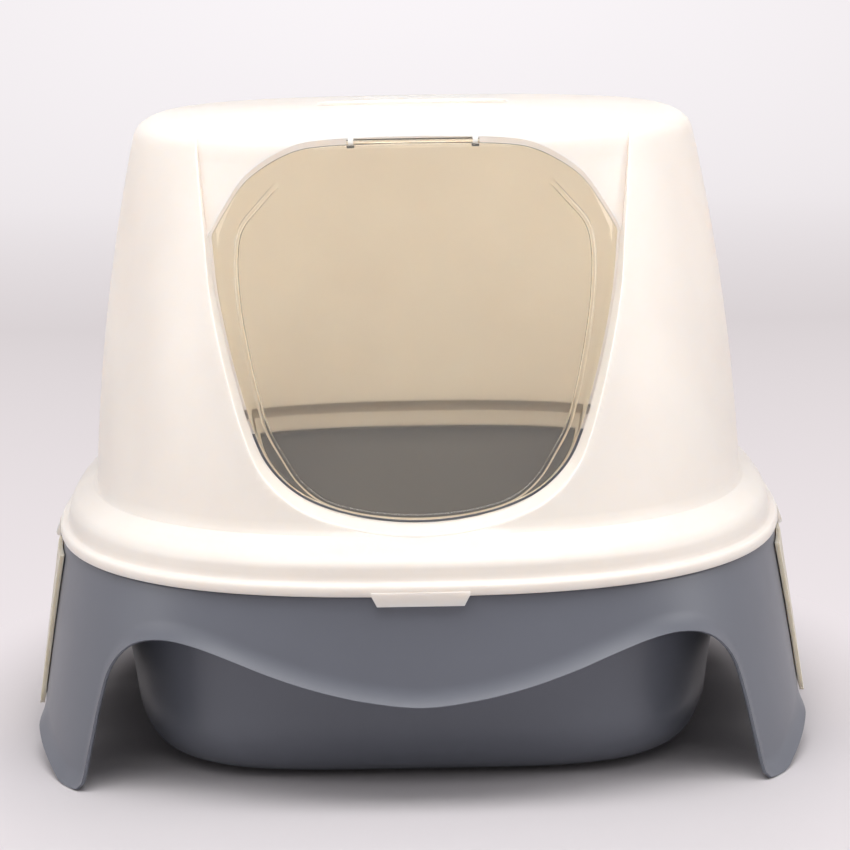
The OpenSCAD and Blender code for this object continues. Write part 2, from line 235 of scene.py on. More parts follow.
def face_y(x, z, s, d=None):
    """Depth y of the hood's front face at x, z. With d, that of the sunk face d deeper."""
    if d is None:
        h = np.minimum(z, 346)
        a, f = wall_a(h, s.rim_a), wall_f(h, s.rim_b)
    else:
        rows = np.linspace(110, 346, 400)
        g = lean(rows, s.rim_b)
        c = 1 / np.sqrt(1 + g * g)
        deep = (sunk(rows) + d) * c
        h = np.interp(z, rows + deep * g, rows)
        back = np.interp(h, rows, deep)
        a, f = wall_a(h, s.rim_a) - back, wall_f(h, s.rim_b) - back
    q = np.minimum(0.97, np.abs(x) / a)
    return -f * (1 - q ** WALL_N) ** (1 / WALL_N)


def bend_heights(count):
    """Heights through the bend, close together where it turns most."""
    t = np.linspace(0, np.pi / 2, count + 1)[1:]
    return BEND_Z + (TOP_Z - BEND_Z) * np.sin(t) ** (2 / BEND_N)


def mirrored(half):
    """Line whose right half ends in the middle, with its left half added."""
    h = np.asarray(half, float)
    return np.concatenate([h, h[-2::-1] * [-1, 1]])


def grown(line, g, closed=True):
    """Line moved outwards by g, square to itself."""
    if closed:
        d = np.roll(line, -1, 0) - np.roll(line, 1, 0)
    else:
        d = np.gradient(line, axis=0)
    n = np.stack([-d[:, 1], d[:, 0]], -1) / np.linalg.norm(d, axis=1)[:, None]
    return line + np.asarray(g)[..., None] * n


# ---- Meshes ----

def grid_faces(rows, cols, start=0):
    """Four-sided faces between rows of a grid that closes round its columns."""
    i = np.arange(rows - 1)[:, None] * cols
    j = np.arange(cols)[None]
    k = (j + 1) % cols
    return (start + np.stack([i + j, i + k, i + cols + k, i + cols + j], -1)).reshape(-1, 4)


def new_object(name, points, faces):
    """Object from points in millimetres and faces."""
    mesh = bpy.data.meshes.new(name)
    mesh.from_pydata((np.asarray(points, float) * MM).tolist(), [],
                     [list(map(int, f)) for f in faces])
    mesh.validate()
    obj = bpy.data.objects.new(name, mesh)
    bpy.context.scene.collection.objects.link(obj)
    return obj


def outwards(obj):
    """Turns the faces of a closed mesh outwards."""
    bm = bmesh.new()
    bm.from_mesh(obj.data)
    bmesh.ops.recalc_face_normals(bm, faces=bm.faces)
    if bm.calc_volume(signed=True) < 0:
        bmesh.ops.reverse_faces(bm, faces=bm.faces)
    bm.to_mesh(obj.data)
    bm.free()
    return obj


def skin(name, rings, low=None, high=None):
    """Closed surface through rings [row, point, xyz], closed by a fan to a point at each end."""
    rows, cols = rings.shape[:2]
    low = rings[0].mean(0) if low is None else low
    high = rings[-1].mean(0) if high is None else high
    j = np.arange(cols)
    k = (j + 1) % cols
    n = rows * cols
    faces = grid_faces(rows, cols).tolist()
    faces += np.stack([np.full(cols, n), k, j], -1).tolist()
    faces += np.stack([np.full(cols, n + 1), j + n - cols, k + n - cols], -1).tolist()
    return outwards(new_object(name, np.concatenate([rings.reshape(-1, 3), [low, high]]), faces))


def prism(name, outline, along):
    """Prism with an outline of [point, xyz] carried by the vector along."""
    n = len(outline)
    j = np.arange(n)
    k = (j + 1) % n
    faces = np.stack([j, k, k + n, j + n], -1).tolist()
    faces += [j[::-1].tolist(), (j + n).tolist()]
    return outwards(new_object(name, np.concatenate([outline, outline + np.asarray(along)]),
                               faces))


def hull(name, points):
    """Tightest convex body round the points."""
    bm = bmesh.new()
    for p in np.asarray(points, float) * MM:
        bm.verts.new(p)
    made = bmesh.ops.convex_hull(bm, input=bm.verts)
    spare = list({v for v in made["geom_interior"] + made["geom_unused"]
                  if isinstance(v, bmesh.types.BMVert)})
    bmesh.ops.delete(bm, geom=spare, context="VERTS")
    mesh = bpy.data.meshes.new(name)
    bm.to_mesh(mesh)
    bm.free()
    obj = bpy.data.objects.new(name, mesh)
    bpy.context.scene.collection.objects.link(obj)
    return outwards(obj)


def circle(r, count=40):
    t = np.linspace(0, 2 * np.pi, count, endpoint=False)
    return np.stack([r * np.cos(t), r * np.sin(t)], -1)


def rod_x(name, x0, x1, y, z, r):
    """Round rod along X."""
    c = circle(r)
    return prism(name, np.stack([0 * c[:, 0] + x0, y + c[:, 0], z + c[:, 1]], -1),
                 (x1 - x0, 0, 0))


def rod_y(name, x, z, y0, y1, r):
    """Round rod along Y."""
    c = circle(r)
    return prism(name, np.stack([x + c[:, 0], 0 * c[:, 0] + y0, z + c[:, 1]], -1),
                 (0, y1 - y0, 0))


def block(low, high):
    """Corners of a box."""
    return np.array([[x, y, z] for x in (low[0], high[0]) for y in (low[1], high[1])
                     for z in (low[2], high[2])], float)


def round_rect(w, d, r, count=12):
    """Outline of a w by d rectangle with round corners, anticlockwise."""
    t = np.linspace(0, np.pi / 2, count)
    arc = np.stack([np.cos(t), np.sin(t)], -1) * r
    turn = [(arc, (1, 1)), (arc[:, ::-1] * [-1, 1], (-1, 1)), (-arc, (-1, -1)),
            (arc[:, ::-1] * [1, -1], (1, -1))]
    return np.concatenate([a + np.array(sgn) * [w / 2 - r, d / 2 - r] for a, sgn in turn])


def combine(target, how, *others):
    """Cuts, joins or crosses closed bodies; the others are used up."""
    for other in others:
        mod = target.modifiers.new("combine", "BOOLEAN")
        mod.solver = "MANIFOLD"
        mod.operation = how
        mod.object = other
        graph = bpy.context.evaluated_depsgraph_get()
        mesh = bpy.data.meshes.new_from_object(target.evaluated_get(graph))
        if len(mesh.polygons) == 0:
            raise RuntimeError(f"{target.name} {how} {other.name} left nothing")
        target.modifiers.clear()
        old = target.data
        target.data = mesh
        bpy.data.meshes.remove(old)
        used = other.data
        bpy.data.objects.remove(other)
        bpy.data.meshes.remove(used)
    return target


def finish_piece(obj, name, body, material, nodes=(), angle=32):
    """Names a piece, shades it smooth between sharp edges, and ties it to its body."""
    obj.name = name
    obj.data.name = name
    obj.data.materials.clear()
    obj.data.materials.append(material)
    bm = bmesh.new()
    bm.from_mesh(obj.data)
    bmesh.ops.remove_doubles(bm, verts=bm.verts, dist=2e-6)
    bmesh.ops.dissolve_degenerate(bm, edges=bm.edges, dist=2e-6)
    bm.to_mesh(obj.data)
    bm.free()
    obj.data.shade_smooth()
    obj.data.set_sharp_from_angle(angle=math.radians(angle))
    if nodes:
        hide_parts(*nodes)
    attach(obj, body)
    return obj


# ---- Materials ----

def add_node(tree, kind, settings=None, links=None):
    """Adds a node, sets its values and links its sockets."""
    node = tree.nodes.new(kind)
    for key, value in (settings or {}).items():
        if key in node.inputs:
            node.inputs[key].default_value = value
        else:
            setattr(node, key, value)
    for key, source in (links or {}).items():
        tree.links.new(source, node.inputs[key])
    return node


def new_material(name):
    mat = bpy.data.materials.get(name)
    if mat:
        return mat, None, None
    mat = bpy.data.materials.new(name)
    mat.use_nodes = True
    tree = mat.node_tree
    tree.nodes.clear()
    return mat, tree, add_node(tree, "ShaderNodeOutputMaterial")


def moulded_plastic(name, colour, roughness, glow=0.0, grain=0.35, shift=0.04):
    """Injection-moulded polypropylene. Its satin comes from a fine spark-eroded grain in the
    mould, about 0.35 mm, drawn as a shallow bump; the colour drifts a little where the melt
    cooled at different rates, over about 90 mm. Thin walls let a little light through."""
    mat, tree, out = new_material(name)
    if tree is None:
        return mat
    place = add_node(tree, "ShaderNodeTexCoord").outputs["Object"]
    drift = add_node(tree, "ShaderNodeTexNoise", {"Scale": 1 / 0.09, "Detail": 3.0},
                     {"Vector": place})
    tone = add_node(tree, "ShaderNodeValToRGB", links={"Fac": drift.outputs["Fac"]})
    base = np.array(linear(colour))
    for stop, gain in zip(tone.color_ramp.elements, (1 - shift, 1 + shift)):
        stop.color = (*np.clip(base[:3] * gain, 0, 1), 1)
    tone.color_ramp.elements[0].position = 0.3
    tone.color_ramp.elements[1].position = 0.7
    eroded = add_node(tree, "ShaderNodeTexNoise", {"Scale": 1 / (grain * MM), "Detail": 2.0},
                      {"Vector": place})
    flow = add_node(tree, "ShaderNodeTexNoise", {"Scale": 1 / 0.03, "Detail": 2.0},
                    {"Vector": place})
    shine = add_node(tree, "ShaderNodeMapRange",
                     {"To Min": roughness - 0.04, "To Max": roughness + 0.05},
                     {"Value": flow.outputs["Fac"]})
    bump = add_node(tree, "ShaderNodeBump", {"Strength": 0.12, "Distance": 0.00008},
                    {"Height": eroded.outputs["Fac"]})
    add_node_to = add_node(tree, "ShaderNodeBsdfPrincipled",
                           {"IOR": 1.49, "Subsurface Weight": glow, "Subsurface Scale": 0.004},
                           {"Base Color": tone.outputs["Color"],
                            "Roughness": shine.outputs["Result"],
                            "Normal": bump.outputs["Normal"]})
    add_node_to.inputs["Subsurface Radius"].default_value = (1.0, 0.93, 0.84)
    tree.links.new(add_node_to.outputs["BSDF"], out.inputs["Surface"])
    return mat


def smoky_polystyrene(name, colour):
    """Clear moulded polystyrene with a smoky yellow-brown tint. It is polished, so that it
    mirrors the lamps, and rays from lamps pass through it to what is behind."""
    mat, tree, out = new_material(name)
    if tree is None:
        return mat
    place = add_node(tree, "ShaderNodeTexCoord").outputs["Object"]
    waves = add_node(tree, "ShaderNodeTexNoise", {"Scale": 1 / 0.045, "Detail": 0.0},
                     {"Vector": place})
    bump = add_node(tree, "ShaderNodeBump", {"Strength": 0.05, "Distance": 0.0004},
                    {"Height": waves.outputs["Fac"]})
    glass = add_node(tree, "ShaderNodeBsdfPrincipled",
                     {"Base Color": linear(colour), "IOR": 1.55, "Roughness": 0.03,
                      "Transmission Weight": 1.0},
                     {"Normal": bump.outputs["Normal"]})
    clear = add_node(tree, "ShaderNodeBsdfTransparent", {"Color": (1.0, 1.0, 1.0, 1.0)})
    path = add_node(tree, "ShaderNodeLightPath")
    mix = add_node(tree, "ShaderNodeMixShader", links={"Fac": path.outputs["Is Shadow Ray"]})
    tree.links.new(glass.outputs["BSDF"], mix.inputs[1])
    tree.links.new(clear.outputs["BSDF"], mix.inputs[2])
    tree.links.new(mix.outputs["Shader"], out.inputs["Surface"])
    return mat


def charcoal_felt(name, colour):
    """Needled felt loaded with carbon: matt and black, with fibres about 0.6 mm apart."""
    mat, tree, out = new_material(name)
    if tree is None:
        return mat
    place = add_node(tree, "ShaderNodeTexCoord").outputs["Object"]
    fibres = add_node(tree, "ShaderNodeTexNoise", {"Scale": 1 / 0.0006, "Detail": 4.0},
                      {"Vector": place})
    tone = add_node(tree, "ShaderNodeValToRGB", links={"Fac": fibres.outputs["Fac"]})
    base = np.array(linear(colour))
    tone.color_ramp.elements[0].color = (*(base[:3] * 0.5), 1)
    tone.color_ramp.elements[1].color = (*np.clip(base[:3] * 1.8, 0, 1), 1)
    bump = add_node(tree, "ShaderNodeBump", {"Strength": 0.6, "Distance": 0.0005},
                    {"Height": fibres.outputs["Fac"]})
    felt = add_node(tree, "ShaderNodeBsdfPrincipled",
                    {"Roughness": 0.95, "Sheen Weight": 0.3, "Specular IOR Level": 0.2},
                    {"Base Color": tone.outputs["Color"], "Normal": bump.outputs["Normal"]})
    tree.links.new(felt.outputs["BSDF"], out.inputs["Surface"])
    return mat


def ivory():
    """The hood's ivory polypropylene."""
    return moulded_plastic("moulded ivory polypropylene",
                           bpy.context.scene.litter_colours.hood, 0.42, glow=1.0)


def natural():
    """The clips' natural polypropylene, a little see-through."""
    return moulded_plastic("natural ivory polypropylene",
                           bpy.context.scene.litter_colours.clip, 0.4, glow=1.0)


# ---- Pieces ----

def flare_rings(knots, s, count):
    """Rings through the flared rim's profile: inset across, inset along, height."""
    k = spline(knots, count)
    return hood_rings(s.rim_a - k[:, 0], s.rim_b - k[:, 1], s.rim_b - k[:, 1], 2.57, k[:, 2],
                      s.detail)


def gateway(s, g, rounding=0.0):
    """Body that cuts the doorway: its outline, grown by g, is carried inwards from the face
    and draws in by the moulding's draft. At the face it opens out by a quarter round."""
    line = spline(mirrored(GATE), 260)
    y = face_y(line[:, 0], line[:, 1], s)
    depth = [-45, -10, -1]
    swell = [-DRAFT * d + rounding for d in depth]
    if rounding:
        t = np.linspace(0, np.pi / 2, 7)
        depth += list(rounding * (1 - np.cos(t)))
        swell += list(rounding * (1 - np.sin(t)) - 0)
    depth += [6, 20, 40, 58]
    swell += [-DRAFT * d for d in depth[-4:]]
    rings = []
    for d, w in zip(depth, swell):
        p = grown(line, g + w)
        rings.append(np.stack([p[:, 0], y + d, p[:, 1]], -1))
    rings = np.array(rings)
    mid = np.array([0, 0, 270.0])
    low, high = mid + [0, rings[0, :, 1].mean(), 0], mid + [0, rings[-1, :, 1].mean(), 0]
    return skin("gateway", rings, low, high)


def deeper(s, d):
    """Everything that lies deeper than the sunk face by d."""
    rows = np.concatenate([np.linspace(120, 330, 26), np.linspace(331, BEND_Z, 4),
                           bend_heights(10)])
    rings = np.concatenate([wall_rings(rows, sunk(rows) + d, s),
                            crown_rings([0.98, 0.9, 0.7, 0.4], -0.6 + d, s)])
    return skin("deeper", rings, (0, 0, 120), (0, 0, PEAK + 0.6 - d))


def above_arch(lift):
    """Everything above the lower edge of the band over the door."""
    half = np.array(ARCH, float)
    line = spline(np.concatenate([half[:0:-1] * [-1, 1], half]), 120)
    line = np.concatenate([line, [[150, 268], [150, 400], [-150, 400], [-150, 268]]])
    line[:, 1] += lift * (np.arange(len(line)) < 120)
    return prism("arch", np.stack([line[:, 0], 0 * line[:, 0] - 300, line[:, 1]], -1),
                 (0, 280, 0))


def crown_z(x, y, s):
    """Height of the crown over x, y."""
    a, f, r = (w(TOP_Z, v) for w, v in ((wall_a, s.rim_a), (wall_f, s.rim_b),
                                        (wall_r, s.rim_b)))
    p = np.arctan2(y, x)
    share = np.hypot(x, y) / reach(p, a, np.where(y < 0, f, r), WALL_N)
    return TOP_Z + CROWN * (1 - share ** 2)


def pocket(s, g, rounding=0.0):
    """Pocket for the folding handle, grown by g, with a quarter round where it opens out of
    the crown and a small one along its floor."""
    line = round_rect(95 + 16, 46, 8, 14)
    floor = POCKET_Z - g
    rings = []
    t = np.linspace(0, np.pi / 2, 6)
    depth = [-20, -1] + list(rounding * (1 - np.cos(t))) if rounding else [-20]
    swell = [rounding, rounding] + list(rounding * (1 - np.sin(t))) if rounding else [0]
    for d, w in zip(depth, swell):
        p = grown(line, -(g + w))
        y = p[:, 1] + GRIP_Y
        rings.append(np.stack([p[:, 0], y, crown_z(p[:, 0], y, s) - d], -1))
    for up, w in ((1.2, 0), (0.35, -0.35), (0, -1.2)):
        p = grown(line, -(g + w))
        rings.append(np.stack([p[:, 0], p[:, 1] + GRIP_Y, 0 * p[:, 0] + floor + up], -1))
    return skin("pocket", np.array(rings))


def slab(name, w, d, r, z0, z1, y, x=0.0):
    """Upright slab with round corners."""
    p = round_rect(w, d, r)
    return prism(name, np.stack([p[:, 0] + x, p[:, 1] + y, 0 * p[:, 0] + z0], -1),
                 (0, 0, z1 - z0))


class LITTERBOX_OT_hood(bpy.types.Operator):
    """Builds the hood: flared rim, leaning wall, cambered crown, doorway, vents and pocket"""
    bl_idname = "litterbox.hood"
    bl_label = "Hood"

    def execute(self, context):
        s = context.scene.litter_sizes
        w = s.hood_wall
        flare = [(1.3, 1.3, 113), (0.5, 0.5, 113.4), (0.1, 0.1, 114.6), (0, 0, 116.4),
                 (0.3, 0.3, 118), (1.1, 1.1, 119.1), (3, 3, 119.6), (4.6, 4.6, 120.2),
                 (5.2, 5.2, 121.6), (5.6, 5.6, 124.6), (6.3, 6.3, 128.2), (8.2, 9.3, 131.8),
                 (12, 17, 135.2), (16.4, 24.6, 137.8), (19.6, 29, 139.3)]
        hollow = [(3.6, 3.6, 112), (3.6, 3.6, SEAT_Z), (8.4, 8.4, SEAT_Z), (8.6, 8.6, 127),
                  (11.4, 13, 130.4), (16, 23, 134.2), (22.6, 32.4, 137.6)]
        rows = np.concatenate([np.linspace(142, 330, 48), bend_heights(16)])
        outside = skin("hood", np.concatenate([
            flare_rings(flare, s, 64), wall_rings(rows, 0, s),
            crown_rings(np.linspace(0.98, 0.06, 16), 0, s)]), (0, 0, 113), (0, 0, PEAK))
        rows = np.concatenate([np.linspace(142, 330, 20), bend_heights(12)])
        k = np.array(hollow)
        inside = skin("inside", np.concatenate([
            hood_rings(s.rim_a - k[:, 0], s.rim_b - k[:, 1], s.rim_b - k[:, 1], 2.57, k[:, 2],
                       s.detail),
            wall_rings(rows, w, s), crown_rings(np.linspace(0.93, 0.1, 10), w, s)]),
            (0, 0, 112), (0, 0, PEAK - w))
        # The wall keeps its thickness behind the sunk band, the pocket and the filter's ring
        inside = combine(inside, "DIFFERENCE",
                         combine(gateway(s, w), "DIFFERENCE", deeper(s, w)),
                         pocket(s, w),
                         combine(slab("ring", 100, 78, 6, PEAK - 19.3, PEAK - 4.3, VENT_Y),
                                 "DIFFERENCE",
                                 slab("bore", 96, 74, 4, PEAK - 21, PEAK, VENT_Y)))
        band = combine(deeper(s, 0), "INTERSECT", above_arch(0))
        hood = combine(outside, "DIFFERENCE", inside,
                       combine(gateway(s, 0, s.edge_round), "DIFFERENCE", band))
        y, z = PIN
        for side in (-1, 1):
            x = side * EAR_X
            c = circle(2.9)
            ear = np.concatenate([np.stack([0 * c[:, 0] + x + e, y + c[:, 0], z + c[:, 1]], -1)
                                  for e in (-1.4, 1.4)])
            seat = block((x - 1.4, y + 0.4, 344.2), (x + 1.4, y + 4.4, 345.6))
            hood = combine(hood, "UNION", hull("ear", np.concatenate([ear, seat])))
            for end in (-46, 46):
                cx, cz = side * (s.rim_a + 0.6), 107.4
                c = circle(2.1)
                lug = np.concatenate([
                    np.stack([cx + c[:, 0], 0 * c[:, 0] + end + e, cz + c[:, 1]], -1)
                    for e in (-3, 3)])
                seat = block((side * (s.rim_a - 1.6) - 1.2, end - 3, 113.4),
                             (side * (s.rim_a - 1.6) + 1.2, end + 3, 116.4))
                hood = combine(hood, "UNION", hull("lug", np.concatenate([lug, seat])))
        tab = np.concatenate([block((-25.5, -s.rim_b - 0.6, 114), (25.5, -s.rim_b + 2.4, 115.5)),
                              block((-22.5, -s.rim_b + 0.2, 108), (22.5, -s.rim_b + 2, 109))])
        hood = combine(hood, "UNION", hull("tab", tab))
        hood = combine(hood, "DIFFERENCE", pocket(s, 0, 1.2),
                       *[slab("vent", 80 - abs(i) * 6, 4.4, 2.19, PEAK - 17, PEAK + 13,
                              VENT_Y + i * 9) for i in range(-3, 4)])
        for side in (-1, 1):
            hood = combine(hood, "DIFFERENCE",
                           rod_x("bore", side * EAR_X - 4, side * EAR_X + 4, y, z, 1.55),
                           rod_x("bore", side * 57 - 5, side * 57 + 5, GRIP_Y - 14, PEAK - 5.5,
                                 2.05))
        finish_piece(hood, "hood_moulding", "hood", ivory(), ["hood_shell"])
        return {"FINISHED"}


class LITTERBOX_OT_tray(bpy.types.Operator):
    """Builds the tray with its flared skirt, wavy rolled edge and four legs"""
    bl_idname = "litterbox.tray"
    bl_label = "Tray"

    def execute(self, context):
        s = context.scene.litter_sizes
        w, a, b = s.tray_wall, s.rim_a, s.rim_b
        count = 96
        edge = np.array(EDGE, float)
        mirror_low = edge[3:0:-1] * [-1, 1]
        mirror_high = edge[-2:-5:-1] * [-1, 1] + [180, 0]
        full = np.concatenate([mirror_low, edge, mirror_high])
        fine = spline(full * [MM_DEG, 1], 4000)
        run = np.concatenate([[0], np.cumsum(np.linalg.norm(np.diff(fine, axis=0), axis=1))])
        start, stop = np.interp([0, 90 * MM_DEG], fine[:, 0], run)
        at = np.linspace(start, stop, count + 1)

        def on_edge(length):
            return np.stack([np.interp(length, run, fine[:, i]) for i in (0, 1)], -1)

        edge = on_edge(at) / [MM_DEG, 1]
        edge[:, 1] = np.maximum(edge[:, 1], 0)
        d = on_edge(at + 6) - on_edge(at - 6)
        up = np.stack([-d[:, 1], d[:, 0]], -1) / np.linalg.norm(d, axis=1)[:, None]
        spread = edge[:, 0] * 0.4 + np.linspace(0, 90, count + 1) * 0.6
        fade = np.clip((edge[:, 0] - 25) / 8, 0, 1)
        fade = fade * fade * (3 - 2 * fade)

        def around(angle, height, out):
            """Mirrors a quarter's row round the other three."""
            row = np.stack([angle, height + 0 * angle, out + 0 * angle], -1)
            back = row[:0:-1]
            return np.concatenate([row[:-1], back * [-1, 1, 1] + [180, 0, 0],
                                   row[:-1] + [180, 0, 0], back * [-1, 1, 1] + [360, 0, 0]])

        def skirt(angle, height, out):
            """Ring on the skirt: it widens downwards and its plan gets squarer."""
            r = around(angle, height, out)
            p = np.radians(r[:, 0])
            q = reach(p, a - 2.5 + (112 - r[:, 1]) * 0.122 + r[:, 2],
                      b - 4 + (112 - r[:, 1]) * 0.1 + r[:, 2],
                      2.57 + 0.72 * (112 - r[:, 1]) / 112)
            return np.stack([q * np.cos(p), q * np.sin(p), r[:, 1]], -1)

        def plain(ra, rb, n, z):
            p = np.radians(around(spread, z, 0)[:, 0])
            q = reach(p, ra, rb, n)
            return np.stack([q * np.cos(p), q * np.sin(p), z + 0 * q], -1)

        def roll(k, inside):
            """Row a share k of the roll's width above the edge, flared out towards it."""
            return (edge[:, 0] + k * ROLL_W * up[:, 0] / MM_DEG,
                    np.maximum(0, edge[:, 1] + k * ROLL_W * up[:, 1]),
                    fade * ROLL_OUT * (1 - max(k, 0)) ** 2 - inside)

        def wall(t, top, inside):
            """Row between the roll and the rim."""
            p, z, _ = roll(1, 0)
            return p + (spread - p) * t, z + (top - z) * t, -inside

        pan = [(60, 112, 3.0, 2), (128, 180, 4.3, 2), (140, 192, 4.4, 2.4), (149.5, 201.5, 4.4, 6),
               (156, 208, 4.4, 12), (162, 216, 4.2, 25), (167, 222, 3.6, 46), (176, 234, 3, 80)]
        under = np.array(pan + [(a - 26, b - 18.2, 2.7, 101.3), (a - 16, b - 14.6, 2.62, 110.6)])
        inner = np.array([(x - w * 0.96, y - w * 0.96, n, z + (w if z < 9 else w * 0.25))
                          for x, y, n, z in pan] + [(a - 28.6, b - 20.6, 2.7, 102.8)])
        rim = [(a - 20, b - 16.6, 2.64, 111.6), (a - 15.4, b - 14.4, 2.6, 114.6),
               (a - 13.6, b - 13.2, 2.6, 115.7), (a - 11.6, b - 11.4, 2.6, RIM_Z),
               (a - 9, b - 9, 2.6, RIM_Z), (a - 6.6, b - 6.6, 2.58, RIM_Z),
               (a - 5.3, b - 5.5, 2.57, RIM_Z - 0.4), (a - 4.7, b - 4.9, 2.57, RIM_Z - 1.4),
               (a - 4.6, b - 4.8, 2.57, 113.4), (a - 4.1, b - 4.7, 2.57, 112.6),
               (a - 3, b - 4.2, 2.57, 112)]
        rings = [plain(*v) for v in spline(inner, 34)] + [plain(*v) for v in rim]
        rings += [skirt(*wall(t, 111.2, 0)) for t in np.linspace(1, 0.06, 16)]
        rings += [skirt(*roll(k, 0)) for k in np.linspace(1, 0.1, 10)]
        rings += [skirt(*roll(0, 0)), skirt(*roll(-0.05, w * 0.2)), skirt(*roll(-0.08, w / 2)),
                  skirt(*roll(-0.05, w * 0.8)), skirt(*roll(0, w))]
        rings += [skirt(*roll(k, w)) for k in (0.25, 0.5, 0.75, 1)]
        rings += [skirt(*wall(t, 109, w)) for t in (0.2, 0.4, 0.6, 0.8, 1)]
        rings += [plain(a - 8, b - 8.2, 2.57, 112.6), plain(a - 11.6, b - 11.2, 2.6, 113.2)]
        rings += [plain(*v) for v in spline(under, 34)[::-1]]
        tray = skin("tray", np.array(rings), (0, 0, 2 + w), (0, 0, 2))
        for side in (-1, 1):
            p = round_rect(156, 48, 7)
            tray = combine(tray, "DIFFERENCE", prism(
                "window", np.stack([0 * p[:, 0] + side * 212 - 13, p[:, 0], p[:, 1] + 66], -1),
                (26, 0, 0)))
        blue = moulded_plastic("moulded blue-grey polypropylene",
                               context.scene.litter_colours.base, 0.4)
        finish_piece(tray, "tray_moulding", "tray", blue, ["base_tray"])
        return {"FINISHED"}


class LITTERBOX_OT_door(bpy.types.Operator):
    """Builds the curved see-through door with its rib and hinge bar"""
    bl_idname = "litterbox.door"
    bl_label = "Door"

    def execute(self, context):
        s = context.scene.litter_sizes
        w = s.door_wall
        mid = np.array([0.0, 245.0])
        theta = np.linspace(0, 2 * np.pi, 400, endpoint=False)

        def radius(line):
            """Distance from the door's middle to a line at each angle."""
            v = line - mid
            p = np.unwrap(np.arctan2(v[:, 1], v[:, 0]))
            if p[-1] < p[0]:
                p, v = p[::-1], v[::-1]
            r = np.linalg.norm(v, axis=1)
            turns = np.concatenate([p - 2 * np.pi, p, p + 2 * np.pi])
            return turns, np.tile(r, 3)

        # The cut's draft at the door's depth draws the outline in a little
        gate = spline(mirrored(GATE), 400)
        inward = DRAFT * (face_y(gate[:, 0], gate[:, 1], s, 0.3)
                          - face_y(gate[:, 0], gate[:, 1], s))
        gate = grown(gate, -(s.door_gap + 0.4) - inward)
        half = np.array(ARCH, float)
        arch = spline(np.concatenate([half[:0:-1] * [-1, 1], half, [[150, 215]]]), 300)
        arch = np.concatenate([[[-150, 215]], arch]) - [0, s.door_gap + 1.5]
        gt, gr = radius(gate)
        at, ar = radius(arch)
        at, ar = at[len(arch):2 * len(arch)], ar[len(arch):2 * len(arch)]
        a_r = np.interp((theta - at[0]) % (2 * np.pi) + at[0], at, ar, right=1e3)
        out = np.minimum(np.interp(theta, gt, gr), a_r)
        ray = np.stack([np.cos(theta), np.sin(theta)], -1)
        r = 0.7
        t = np.linspace(0, np.pi / 2, 5)
        inset = np.concatenate([np.maximum(out.min() * (1 - np.linspace(0.04, 0.97, 40)), 3),
                                r * (1 - np.sin(t)), r * (1 - np.sin(t[::-1])),
                                np.maximum(out.min() * (1 - np.linspace(0.97, 0.04, 40)), 3)])
        share = np.concatenate([np.linspace(0.04, 0.97, 40), np.ones(10),
                                np.linspace(0.97, 0.04, 40)])
        deep = np.concatenate([np.zeros(40), r * (1 - np.cos(t)), w - r * (1 - np.cos(t[::-1])),
                               np.full(40, w)])
        rings = []
        for k in range(len(share)):
            rad = out * share[k] if share[k] < 1 else out - inset[k]
            p = mid + ray * rad[:, None]
            y = face_y(p[:, 0], p[:, 1], s, 0.3 + deep[k])
            rings.append(np.stack([p[:, 0], y, p[:, 1]], -1))
        rings = np.array(rings)
        ends = [np.array([0, face_y(0.0, mid[1], s, 0.3 + d), mid[1]]) for d in (0, w)]
        door = skin("door", rings, *ends)
        y, z = PIN
        for side in (-1, 1):
            door = combine(door, "DIFFERENCE",
                           rod_x("notch", side * EAR_X - 2, side * EAR_X + 2, y, z, 3.7))
        # Rib: a low half round, 3 mm wide, carried along its line on the face
        path = spline(mirrored(RIB), 260)
        across = np.linspace(0, np.pi, 11)
        rings = []
        for q in np.concatenate([across, [np.pi + 0.6, -0.6]]):
            p = grown(path, -1.5 + 1.5 * np.cos(q), closed=False)
            lift = s.rib_rise * np.sin(q) if 0 <= q <= np.pi else -0.6
            # It sinks into the face below the band, which it would catch on as the door swings
            fade = np.clip((322 - path[:, 1]) / 8, 0, 1)
            lift = lift * np.sin(fade * np.pi / 2) - 0.3 * (1 - fade) if lift > 0 else (
                lift - 0.3 * (1 - fade))
            yy = np.array(face_y(p[:, 0], p[:, 1], s, 0.3)) - lift
            rings.append(np.stack([p[:, 0], yy, p[:, 1]], -1))
        rib = np.array(rings).transpose(1, 0, 2)
        door = combine(door, "UNION", skin("rib", rib),
                       rod_x("bar", -EAR_X + 1.9, EAR_X - 1.9, y, z, 1.8),
                       rod_x("pins", -EAR_X - 2.2, EAR_X + 2.2, y, z, 1.5))
        smoky = smoky_polystyrene("smoky moulded polystyrene", context.scene.litter_colours.door)
        finish_piece(door, "door_pane", "door", smoky, ["swing_door"], 40)
        return {"FINISHED"}


class LITTERBOX_OT_fittings(bpy.types.Operator):
    """Finishes the clips, the handle, the filter frame and the pad"""
    bl_idname = "litterbox.fittings"
    bl_label = "Clips, handle and filter"

    def execute(self, context):
        felt = charcoal_felt("charcoal felt", context.scene.litter_colours.pad)
        for node, mat in (("side_clip_left", natural()), ("side_clip_right", natural()),
                          ("carry_handle", ivory()), ("filter_frame", ivory()),
                          ("filter_pad", felt)):
            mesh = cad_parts[node].data
            if mesh.materials:
                mesh.materials[0] = mat
            else:
                mesh.materials.append(mat)
        return {"FINISHED"}


